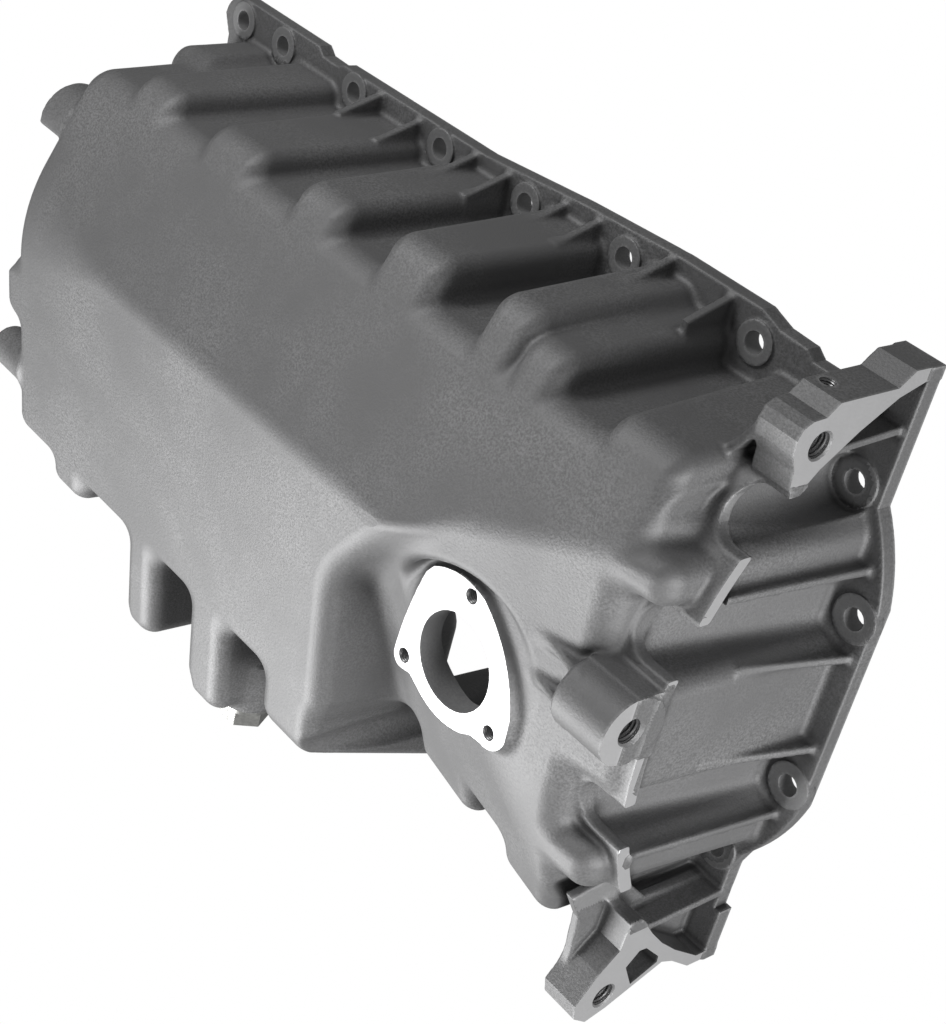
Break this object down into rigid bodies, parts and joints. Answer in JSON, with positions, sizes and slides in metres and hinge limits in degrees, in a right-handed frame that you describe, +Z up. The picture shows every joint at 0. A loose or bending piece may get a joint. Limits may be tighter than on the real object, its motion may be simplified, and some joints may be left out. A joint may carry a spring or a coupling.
{
  "type": "engine oil pan",
  "caption": "Cast aluminium engine oil pan with a flanged gasket face, ribbed walls, a deep sump, a sensor port, a drain plug and a machined gearbox end.",
  "frame": {"origin": "on the gasket face, on the centreline, in the plane of the machined gearbox face", "axes": "+X along the engine towards the gearbox, +Y across towards the drain side, +Z up out of the gasket face, so the pan hangs below Z 0"},
  "size_m": [0.4241, 0.2775, 0.1202],
  "materials": {
    "casting": "sand-grey as-cast skin with pale machined faces",
    "plug": "plated",
    "seal": "plain"
  },
  "bodies": {
    "root": {"oil_pan": "casting", "drain_plug": "plug", "drain_plug_washer": "seal"}
  },
  "joints": []
}
